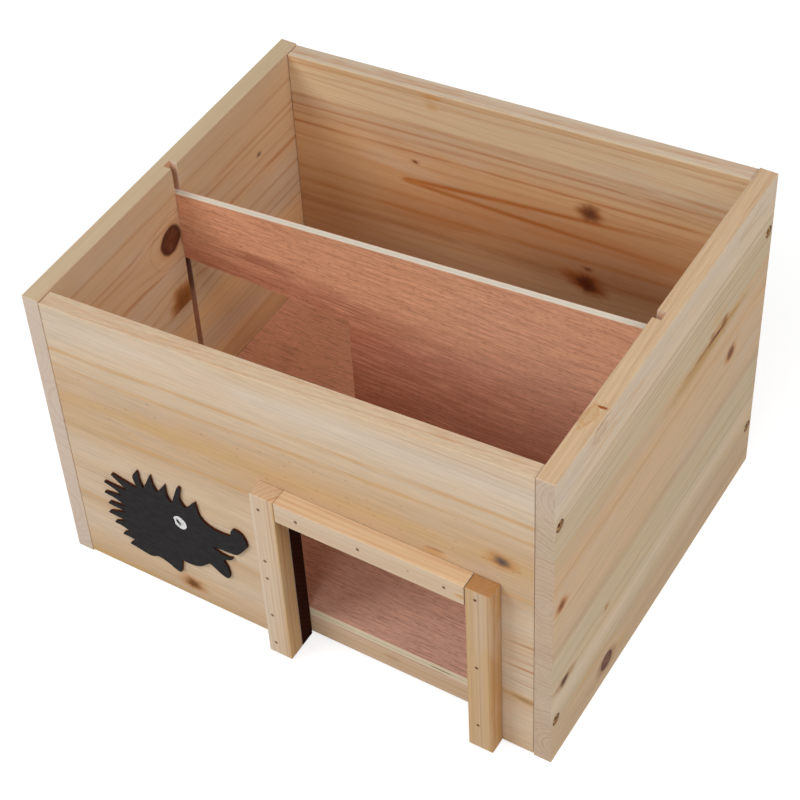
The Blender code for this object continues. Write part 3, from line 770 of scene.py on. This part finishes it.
def plywood(name, sheet):
    """Red hardwood faces with short dark pores, over a pale core that shows at the edges."""
    graph = Graph(name, 0.6, 0.16)
    along, across, through = graph.orient(sheet.axes, sheet.seed)
    waves = sheet.wave * (graph.noise((90.0, 45.0, 45.0)) - 0.5)
    steady = graph.point
    graph.point = graph.vector(along, across + waves, through)
    streak = graph.noise((34.0, 1.8, 9.0), 3.0)
    fine = graph.noise((16.0, 0.7, 6.0))
    dashes = graph.rise(graph.noise((6.0, 0.8, 3.0)), 0.54, 0.72)
    flecks = graph.rise(graph.noise((5.0, 0.7, 3.0)), 0.58, 0.76)
    graph.point = steady
    cloud = graph.noise((120.0, 50.0, 50.0))
    colour = graph.ramp(across + 30.0 * (cloud - 0.5), sheet.bands)
    for stain in sheet.stains:
        radii = (stain.half_length, stain.half_width)
        distance = graph.spot((along, across), (stain.along, stain.across), radii) + 0.8 * (cloud - 0.5)
        darker = stain.strength * graph.fall(distance, 0.2, 1.1) * (0.3 + 1.4 * streak)
        colour = graph.mix(darker, colour, stain.tone)
    colour = graph.mix(0.35 * graph.rise(streak, 0.46, 0.72), colour, "dark_ply")
    colour = graph.mix(0.4 * graph.fall(streak, 0.3, 0.5), colour, "bright_ply")
    colour = graph.mix(0.5 * dashes, colour, "pore")
    colour = graph.mix(0.3 * flecks, colour, "wheat")
    colour = graph.brightened(colour, 0.57 + 0.76 * fine + 0.08 * cloud)
    thickness_axis = sheet.axes[2]
    sawn = graph.fall(graph.facing(thickness_axis), *THIN_FACE)
    edge = ply_edge(graph, sheet, along, graph.share(sheet.node, thickness_axis))
    colour = graph.mix(sawn, colour, edge)
    return graph.finish(colour, 0.55 + 0.18 * fine, 0.5 * fine - 0.5 * dashes, 0.0001)


def painted_board(name):
    """Black paint on a thin board, whose cut edges turn from black to a scorched brown at the back."""
    graph = Graph(name, 0.8, 0.12)
    graph.orient("xzy", 3.0)
    mottle = graph.noise((7.0, 5.0, 5.0), 4.0)
    brush = graph.noise((1.2, 1.8, 1.8))
    grit = graph.noise((0.5, 0.5, 0.5), 1.0)
    face = graph.mix(graph.rise(mottle, 0.2, 0.8), "soot", "ink")
    face = graph.brightened(face, 0.3 + 0.6 * grit + 0.8 * brush)
    ribs = graph.noise((0.9, 0.9, 6.0))
    burnt = graph.rise(graph.share("hedgehog_plate", "y") + 0.8 * (ribs - 0.5), 0.2, 1.0)
    side = graph.mix(0.85 * burnt, "char", "scorch")
    off_face = graph.fall(graph.facing("y"), *THIN_FACE)
    colour = graph.mix(off_face, face, side)
    return graph.finish(colour, 0.7 + 0.2 * mottle, grit + 0.3 * mottle, 0.00008)


def enamel(name):
    """White paint of the eye, brushed on a little thinly, with black smeared round the pupil."""
    graph = Graph(name, 0.4, 0.4)
    graph.orient("xzy", 5.0)
    brush = graph.noise((3.0, 0.8, 1.0))
    colour = graph.mix(graph.rise(brush, 0.52, 0.75), "chalk", "ash")
    up = graph.share("hedgehog_eye", "z") - 0.5
    aside = graph.share("hedgehog_eye", "x") + PUPIL_LEAN * up
    pupil = graph.spot((aside, up), (PUPIL_ASIDE, 0.0), PUPIL_RADII)
    colour = graph.mix(0.85 * graph.fall(pupil, 0.75, 1.1), colour, "ink")
    return graph.finish(colour, 0.35 + 0.2 * brush, brush, 0.0001)


def yellow_zinc(name, node):
    """A plated screw head, dull and scuffed. Its rim, its middle and the cross recess below its face are
    painted dark: painted shade of the gap round the head and of the cross.
    """
    graph = Graph(name, 0.5, 0.08, 0.1)
    graph.orient("yzx", 7.0)
    low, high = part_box(node)
    middle = (low + high) / 2
    radius = (high.z - low.z) / 2
    distance = graph.spot((graph.place["y"], graph.place["z"]), (middle.y, middle.z), (radius, radius))
    outer = max(low.x, high.x, key=abs)
    depth = abs(graph.place["x"] - outer) / MM
    scuffs = graph.noise((1.6, 1.6, 1.6), 3.0)
    colour = graph.mix(graph.rise(scuffs, 0.45, 0.7), "brass", "umber")
    # Painted shade from here on: a dark rim for the gap round the head, a dark middle and a dark recess for
    # the cross.
    colour = graph.mix(0.9 * graph.rise(distance, 0.66, 0.9), colour, "bark")
    colour = graph.mix(0.9 * graph.fall(distance, 0.25, 0.5), colour, "bark")
    colour = graph.mix(graph.rise(depth, 0.15, 0.7), colour, "shade")
    return graph.finish(colour, 0.4 + 0.3 * scuffs, scuffs, 0.0001)


def dark_steel(name):
    """Brad heads, blackened and slightly rusty."""
    graph = Graph(name, 0.6, 0.2, 0.1)
    graph.orient("xzy", 9.0)
    rust = graph.noise((0.7, 0.7, 0.7))
    colour = graph.mix(graph.rise(rust, 0.35, 0.65), "steel", "bark")
    return graph.finish(colour, 0.4 + 0.3 * rust, rust, 0.00005)


# How each board is sawn and marked

LEFT_WALL = Timber(
    axes="yzx",
    seed=1,
    bands=(
        (0, "straw"), (66, "apricot"), (84, "straw"), (120, "apricot"), (146, "tan"),
        (174, "tan"), (210, "straw"), (240, "straw"), (292, "tan"),
    ),
    strips=(Strip(-10, 50, -14), Strip(146, 178, 30, -0.02), Strip(205, 232, -24, 0.03)),
    ring_strength=0.14,
    ring_width=6,
    ring_zones=(Stain(295, 200, 90, 50, 0.12), Stain(180, 60, 260, 80, 0.14)),
    stripes=(
        Stripe(263, 3.6, 0.3), Stripe(238.7, 3, 0.45), Stripe(231, 2.6, 0.45), Stripe(213, 3, 0.25),
        Stripe(200, 4, 0.6), Stripe(175, 3.4, 0.4), Stripe(159, 3, 0.4), Stripe(150, 3, 0.35, "rust"),
        Stripe(137, 1.6, 0.3, "umber"),
    ),
    knots=(
        Knot(159.3, 223.7, 13.6, 1.02, "knot_red", "bark", "sienna", reach=1.5, drawn=1.05,
             ragged=0.2, cracks=0.3, outline=0.25),
        Knot(164, 153, 12.6, 1, "treacle", "rust", "resin", reach=1.9, strength=0.8,
             drawn=1, ragged=0.8, cracks=0.5, joint=146, solid=0.3),
        Knot(288, 219, 2, 1.2, "slate", "summer", "summer", reach=1.8, strength=0.2, solid=0.2),
    ),
    stains=(
        Stain(172, 158, 6, 12, 0.5, "treacle"), Stain(175, 216, 6, 14, 0.5, "bark"),
    ),
    end_tone="pale_end",
    end_strength=0.85,
    end_rings=0.16,
    top_tone="olive",
    top_rings=0.16,
)

RIGHT_WALL = Timber(
    axes="yzx",
    seed=2,
    bands=(
        (0, "tan"), (6, "sand"), (30, "sand"), (44, "oat"), (56, "olive"), (70, "cream"), (84, "olive"),
        (122, "olive"), (130, "oat"), (146, "tan"), (190, "tan"), (200, "straw"), (214, "straw"),
        (226, "sand"), (238, "sand"), (244, "olive"), (270, "olive"), (288, "cream"), (306, "mist"),
        (322, "cream"),
    ),
    strips=(Strip(-10, 22, 455, 0), Strip(67, 187, 442, 0.004), Strip(246, 303, 462, -0.03)),
    ring_strength=0.12,
    ring_width=4.2,
    ring_tone="summer",
    ring_zones=(
        Stain(80, 212, 90, 26, 0.3), Stain(90, 150, 120, 26, 0.15), Stain(200, 64, 160, 30, 0.15),
    ),
    stripes=(
        Stripe(281, 2.6, 0.4), Stripe(272, 2.2, 0.35), Stripe(267, 2, 0.3), Stripe(261, 2.4, 0.35),
        Stripe(249, 1.8, 0.2, "umber"), Stripe(237, 3, 0.35, "gold"), Stripe(206, 6, 0.25),
        Stripe(168.7, 2.2, 0.25), Stripe(133, 7, 0.2), Stripe(99.3, 2, 0.4), Stripe(85, 2.2, 0.3),
        Stripe(18, 9, 0.2),
    ),
    knots=(
        Knot(12.7, 180, 4.6, 1.1, "umber", "rust", "resin", strength=0.7, drawn=1.2, ragged=0.7, solid=0.3),
        Knot(91.7, 22.7, 9, 1.05, "cocoa", "bark", "treacle", reach=1.6, drawn=1.4, ragged=0.2, cracks=1),
        Knot(19.3, 83, 4.4, 1.2, "bark", "bark", "summer", reach=2, strength=0.6, drawn=1.8,
             ragged=1, solid=0.4),
        Knot(294, 184.7, 6, 1, "umber", "bark", "resin", reach=2.1, strength=0.7,
             drawn=1.2, ragged=0.6, cracks=0.4, solid=0.4),
        Knot(87, 95, 1.8, 1.2, "summer", "summer", "summer", reach=3.4, strength=0.45,
             drawn=1.2, ragged=1.6),
    ),
    stains=(
        Stain(240, 229.5, 82, 9, 0.75, "pitch"), Stain(218, 224, 60, 7, 0.4, "pitch"),
        Stain(292, 231.5, 34, 5.5, 0.6, "pitch"), Stain(252, 232.6, 46, 3.6, 0.6, "treacle"),
        Stain(265, 236.5, 24, 9, 0.45, "resin"), Stain(275, 235.6, 7, 8, 0.75, "treacle"),
        Stain(253, 236.5, 6, 7, 0.45, "treacle"), Stain(262, 232.9, 18, 2.1, 1, "bark"),
        Stain(262, 250, 20, 8, 0.3), Stain(303, 191, 7, 3, 0.5), Stain(72, 42, 50, 4, 0.35),
        Stain(112, 22, 24, 5, 0.4),
    ),
    arches=(
        Arch(93, 299, 0.2, 90, 0.7, 3.2, -1, "straw"),
        Arch(137, 301, 0.22, 130, 0.7, 3.2, -1, "straw"),
        Arch(288, 305, 0.24, 70, 0.8, 3.4, 1, "sand"),
        Arch(26, 37, 0.6, 110, 0.6, 2, 1, "gold"),
    ),
    end_tone="dull_end",
    end_strength=0.65,
    end_rings=0.5,
    top_tone="straw",
    crispness=3.4,
)

FRONT_WALL = Timber(
    axes="xzy",
    seed=3,
    bands=(
        (0, "gold"), (6, "tan"), (26, "blush"), (44, "cream"), (60, "blush"), (70, "tan"),
        (80, "cream"), (100, "cream"), (122, "blush"), (140, "cream"), (156, "blush"), (170, "tan"),
        (184, "tan"), (196, "straw"), (204, "honey"), (212, "straw"), (224, "tan"), (240, "blush"),
        (262, "cream"), (282, "pale"), (300, "cream"), (320, "blush"),
    ),
    strips=(Strip(-10, 30, -60), Strip(75, 208, 90, 0.03)),
    ring_width=2.9,
    ring_strength=0.06,
    ring_zones=(
        Stain(30, 106, 70, 30, 0.6), Stain(436, 106, 34, 34, 0.9), Stain(370, 304, 110, 22, 0.3),
        Stain(260, 20, 260, 20, 0.12),
    ),
    middle=225,
    low_slope=-0.03,
    high_slope=0.063,
    slope_from=85,
    slope_to=150,
    wobble=5,
    stripes=(
        Stripe(254.6, 4.4, 0.6, "amber"), Stripe(236.6, 4, 0.5, "amber"),
        Stripe(173, 4.4, 0.5, "amber"), Stripe(72.6, 2.6, 0.55, "amber"),
    ),
    knots=(
        Knot(409, 217.6, 4, 1.4, "slate", "slate", "resin", reach=3, strength=0.6, drawn=1.2, solid=0.1),
        Knot(120, 19, 4.8, 1.3, "umber", "treacle", "resin", reach=2.6, strength=0.6,
             drawn=1.2, ragged=0.8, solid=0.1),
    ),
    stains=(
        Stain(300, 213, 150, 10, 0.25, "honey"), Stain(110, 199, 120, 11, 0.45, "gold"),
        Stain(353, 195, 13, 8, 0.55), Stain(353, 199, 11, 1.6, 0.5, "rust"),
        Stain(428, 65.5, 12, 3.4, 0.6, "slate"), Stain(426, 66, 24, 7, 0.4),
    ),
    top_tone="blush",
    hair_strength=0.1,
    gloss=0,
    crispness=3.6,
    fleck_level=212,
    fleck_strength=0.4,
)

BACK_WALL = Timber(
    axes="xzy",
    seed=4,
    bands=(
        (0, "sand"), (120, "straw"), (150, "warm_straw"), (236, "warm_straw"), (250, "straw"),
        (260, "tan"), (268, "wheat"),
    ),
    strips=(Strip(-10, 60, 430), Strip(120, 187, 380, 0.03)),
    ring_width=6,
    ring_strength=0.22,
    hair_strength=0.22,
    ring_zones=(Stain(100, 170, 200, 40, 0.2),),
    middle=225,
    low_slope=0.08,
    high_slope=0.08,
    stripes=(
        Stripe(300, 2.6, 0.4, "amber"), Stripe(290, 3, 0.3), Stripe(264.7, 4, 0.4),
        Stripe(254.7, 2.4, 0.6), Stripe(246, 3, 0.4), Stripe(236, 2.6, 0.7), Stripe(222, 3, 0.3),
        Stripe(186, 4.4, 0.4, "resin"), Stripe(170, 4.4, 0.7, "resin"), Stripe(150, 7, 0.4, "rust"),
    ),
    knots=(
        Knot(301, 228.7, 5.6, 1.2, "cocoa", "umber", "rust", reach=2.3, strength=0.8,
             drawn=1.2, ragged=1, solid=0.1),
        Knot(299.3, 151.3, 6.6, 1.3, "knot_red", "bark", "rust", reach=2.4, strength=0.9,
             drawn=1.3, ragged=1.2, solid=0.3),
        Knot(300.5, 168, 1.8, 1.6, "umber", "rust", "rust", reach=2, solid=0.1),
        Knot(136.7, 218.7, 1.6, 1.4, "umber", "rust", "rust", reach=2, strength=0.3, solid=0.1),
    ),
    stains=(
        Stain(300, 190, 270, 52, 0.5, "sienna"), Stain(360, 164, 170, 30, 0.3, "umber"),
        Stain(150, 160, 70, 24, 0.3, "sienna"), Stain(155, 293.7, 14, 3.2, 0.9),
        Stain(155, 284, 9, 6, 0.5), Stain(284, 156, 13, 8, 0.6, "sienna"),
        Stain(134, 195.3, 17, 3.4, 0.9, "resin"),
    ),
    arches=(Arch(122, 195.3, 0.157, 330, 1, 4.2, 1, "sienna"),),
    top_tone="mist",
)

LEFT_POST = Timber(
    axes="zxy",
    seed=5,
    bands=((200, "pale"), (212, "cream"), (222, "blush"), (224, "gold")),
    strips=(Strip(150, 262, -40, 0.01),),
    ring_width=3.6,
    ring_strength=0.5,
    wobble=2.5,
    hair_strength=0.2,
    end_tone="sand",
    end_rings=0.8,
)

RIGHT_POST = replace(
    LEFT_POST,
    seed=6,
    bands=((385, "gold"), (398, "tan"), (405.5, "gold"), (407.5, "ochre")),
    strips=(Strip(350, 440, -30, 0.01),),
    ring_tone="summer",
    hair_strength=0.25,
    end_tone="warm_end",
    end_rings=1,
)

LINTEL = Timber(
    axes="xzy",
    seed=7,
    bands=((170, "blush"), (184, "cream")),
    strips=(Strip(100, 140, -52, 0.01),),
    ring_width=3.2,
    ring_strength=0.3,
    wobble=2,
    stains=(Stain(384, 180, 9, 3, 0.8, "amber"), Stain(340, 182.7, 1.6, 1, 0.7, "umber")),
    hair_strength=0.2,
    top_tone="peel",
)

FRONT_CLEAT = Timber(
    axes="xzy",
    seed=8,
    bands=((0, "rose"), (16, "tan"), (26, "rose")),
    strips=(Strip(-20, -22, 52, 0.01),),
    ring_width=3.4,
    ring_strength=0.4,
    wobble=2,
    stains=(Stain(300, 18, 9, 4, 0.25, "rust"),),
)

BACK_CLEAT = replace(
    FRONT_CLEAT,
    seed=9,
    bands=((0, "oat"), (16, "sand"), (26, "oat")),
    strips=(Strip(-20, 60, 300, 0.01),),
    stains=(),
)

FLOOR_SHEET = Sheet(
    axes="xyz",
    seed=10,
    node="floor_panel",
    bands=((60, "rose_ply"), (170, "red_ply"), (200, "bright_ply")),
    wave=12,
    edge_tone="sill",
    core_marks=((0.5, 0.07, 0.95), (0.24, 0.05, 0.4), (0.76, 0.05, 0.4)),
    splits=((345, 12, 0.5), (300, 70, 0.04)),
)

DIVIDER_SHEET = Sheet(
    axes="xzy",
    seed=11,
    node="divider",
    # The bands darken the divider's face towards the bottom: painted shade, where the front wall shades the
    # divider.
    bands=((180, "shaded_ply"), (230, "red_ply")),
    wave=8,
    core_marks=((0.5, 0.09, 0.3),),
    stains=(
        Stain(92, 221, 40, 7, 0.5, "dark_ply"), Stain(160, 205, 120, 14, 0.25, "dark_ply"),
        Stain(420, 210, 240, 140, 0.4, "rose_ply"),
    ),
)


# Each pine board: its node, material, timber and own marks, and how the names of its fixings start

BOARDS = (
    ("left_wall", "left_wall_pine", LEFT_WALL, knotty_groove, "screw_left"),
    ("right_wall", "right_wall_pine", RIGHT_WALL, torn_edge, "screw_right"),
    ("front_wall", "front_wall_pine", FRONT_WALL, scorched_doorway, None),
    ("back_wall", "back_wall_pine", BACK_WALL, painted_edge_light, "brad_back_cleat"),
    ("porch_post_left", "left_post_pine", LEFT_POST, None, "brad_left_post"),
    ("porch_post_right", "right_post_pine", RIGHT_POST, None, "brad_right_post"),
    ("porch_lintel", "lintel_pine", LINTEL, None, "brad_lintel"),
    ("front_cleat", "front_cleat_pine", FRONT_CLEAT, None, "brad_front_cleat"),
    ("back_cleat", "back_cleat_pine", BACK_CLEAT, None, "brad_back_cleat"),
)


def named(prefix):
    """The CAD nodes whose names start so, in order."""
    return tuple(sorted(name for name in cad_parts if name.startswith(prefix)))


def dress(names, material):
    """Gives nodes one material, in place of what they have."""
    for name in names:
        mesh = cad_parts[name].data
        mesh.materials.clear()
        mesh.materials.append(material)


def dress_all():
    for node, material, timber, marks, prefix in BOARDS:
        fixings = named(prefix) if prefix else ()
        dress([node], pine(material, timber, marks, fixings))
    dress(["floor_panel"], plywood("floor_plywood", FLOOR_SHEET))
    dress(["divider"], plywood("divider_plywood", DIVIDER_SHEET))
    dress(["hedgehog_plate"], painted_board("black_board"))
    dress(["hedgehog_eye"], enamel("white_enamel"))
    for screw in named("screw_"):
        dress([screw], yellow_zinc(screw + "_zinc", screw))
    dress(named("brad_"), dark_steel("brad_steel"))


def camera_seen_mix(tree, unseen, seen):
    """One share for what is seen straight, in a gloss or through glass, and another for other light.

    What is seen may be a number or the output of a node.
    """
    path = tree.nodes.new("ShaderNodeLightPath")
    total = path.outputs["Is Camera Ray"]
    for name in ("Is Glossy Ray", "Is Transmission Ray"):
        node = tree.nodes.new("ShaderNodeMath")
        node.operation = "MAXIMUM"
        tree.links.new(total, node.inputs[0])
        tree.links.new(path.outputs[name], node.inputs[1])
        total = node.outputs[0]
    mix = tree.nodes.new("ShaderNodeMix")
    mix.data_type = "FLOAT"
    mix.inputs[2].default_value = unseen
    if isinstance(seen, bpy.types.NodeSocket):
        tree.links.new(seen, mix.inputs[3])
    else:
        mix.inputs[3].default_value = seen
    tree.links.new(total, mix.inputs[0])
    return mix.outputs[0]


def make_world():
    """A white sky for the camera, which gives the object only a weak, even light."""
    world = bpy.data.worlds.new("studio")
    world.use_nodes = True
    background = world.node_tree.nodes["Background"]
    background.inputs["Color"].default_value = WHITE
    strength = camera_seen_mix(world.node_tree, SKY_STRENGTH, 1.0)
    world.node_tree.links.new(strength, background.inputs["Strength"])
    bpy.context.scene.world = world


def floor_material():
    """White, with a glow that only the camera sees, stronger far out, where it meets the white sky."""
    graph = Graph("floor_white", 1.0, 0.0)
    graph.shader.inputs["Emission Color"].default_value = WHITE
    distance = graph.length(graph.place["x"], graph.place["y"])
    inputs = {
        "Value": distance, "From Min": FLOOR_GLOW_NEAR, "From Max": FLOOR_GLOW_FAR, "To Min": FLOOR_GLOW,
    }
    horizon = graph.add("ShaderNodeMapRange", inputs)
    share = camera_seen_mix(graph.tree, FLOOR_BOUNCE, FLOOR_WHITE)
    glow = camera_seen_mix(graph.tree, 0.0, horizon.outputs[0])
    graph.tree.links.new(share, graph.shader.inputs["Base Color"])
    graph.tree.links.new(glow, graph.shader.inputs["Emission Strength"])
    return graph.material


def make_floor():
    """A pale floor that looks white, keeps the box's shadow and bounces a natural share of light."""
    corners = [(-1, -1), (1, -1), (1, 1), (-1, 1)]
    points = [(x * FLOOR_HALF, y * FLOOR_HALF, CAD_BOX[0].z) for x, y in corners]
    mesh = bpy.data.meshes.new("studio_floor")
    mesh.from_pydata(points, [], [(0, 1, 2, 3)])
    mesh.materials.append(floor_material())
    floor = bpy.data.objects.new("studio_floor", mesh)
    bpy.context.scene.collection.objects.link(floor)


def make_lamp(name, place, power):
    """A round soft lamp that points at the box."""
    data = bpy.data.lights.new(name, "AREA")
    data.shape = "DISK"
    data.size = LAMP_SIZE
    data.energy = power
    lamp = bpy.data.objects.new(name, data)
    bpy.context.scene.collection.objects.link(lamp)
    lamp.location = place
    aim = Vector(LIGHT_TARGET) - Vector(place)
    lamp.rotation_euler = aim.to_track_quat("-Z", "Y").to_euler()


def make_camera():
    """A level camera looking down at the box, then rolled about its own line of sight."""
    azimuth = math.radians(CAMERA_AZIMUTH)
    elevation = math.radians(CAMERA_ELEVATION)
    roll = math.radians(CAMERA_ROLL)
    level = math.cos(elevation)
    ahead = Vector((-math.sin(azimuth) * level, math.cos(azimuth) * level, -math.sin(elevation)))
    flat_right = Vector((math.cos(azimuth), math.sin(azimuth), 0.0))
    flat_up = flat_right.cross(ahead)
    right = math.cos(roll) * flat_right + math.sin(roll) * flat_up
    up = math.cos(roll) * flat_up - math.sin(roll) * flat_right
    data = bpy.data.cameras.new("photo_camera")
    data.lens = CAMERA_LENS
    data.sensor_width = CAMERA_SENSOR
    camera = bpy.data.objects.new("photo_camera", data)
    bpy.context.scene.collection.objects.link(camera)
    turn = Matrix((right, up, -ahead)).transposed()
    camera.matrix_world = Matrix.Translation(CAMERA_PLACE) @ turn.to_4x4()
    bpy.context.scene.camera = camera


bpy.context.scene.view_settings.view_transform = "Standard"
make_camera()
make_world()
make_floor()
for name, place, power in LAMPS:
    make_lamp(name, place, power)
dress_all()
